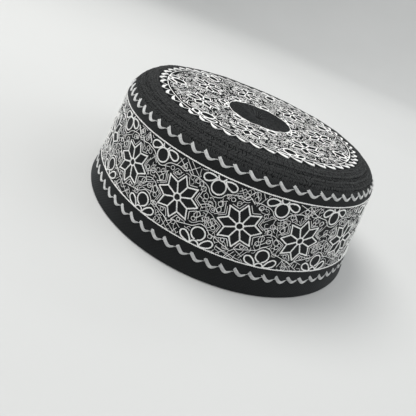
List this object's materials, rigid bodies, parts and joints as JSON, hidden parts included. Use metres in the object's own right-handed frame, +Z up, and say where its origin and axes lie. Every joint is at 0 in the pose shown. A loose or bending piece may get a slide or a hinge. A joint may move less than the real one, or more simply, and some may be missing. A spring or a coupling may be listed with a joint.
{
  "type": "prayer cap",
  "caption": "Stiff round flat-topped cap with a flared side band and a rounded shoulder, black cloth with white star and flower embroidery.",
  "frame": {"origin": "on the cap's vertical axis, in the plane that the rim rests on", "axes": "+Z up along the cap's axis, out through the crown; the cap is round, so +X is any direction across it"},
  "size_m": [0.1824, 0.1824, 0.0683],
  "materials": {
    "black_cloth": "matt black cotton cloth, closely woven",
    "black_crown_cloth": "matt black cotton cloth with close rows of black stitching",
    "white_thread": "off-white embroidery thread with a slight sheen"
  },
  "bodies": {
    "root": {"side_band": "black_cloth", "crown": "black_crown_cloth"}
  },
  "joints": []
}
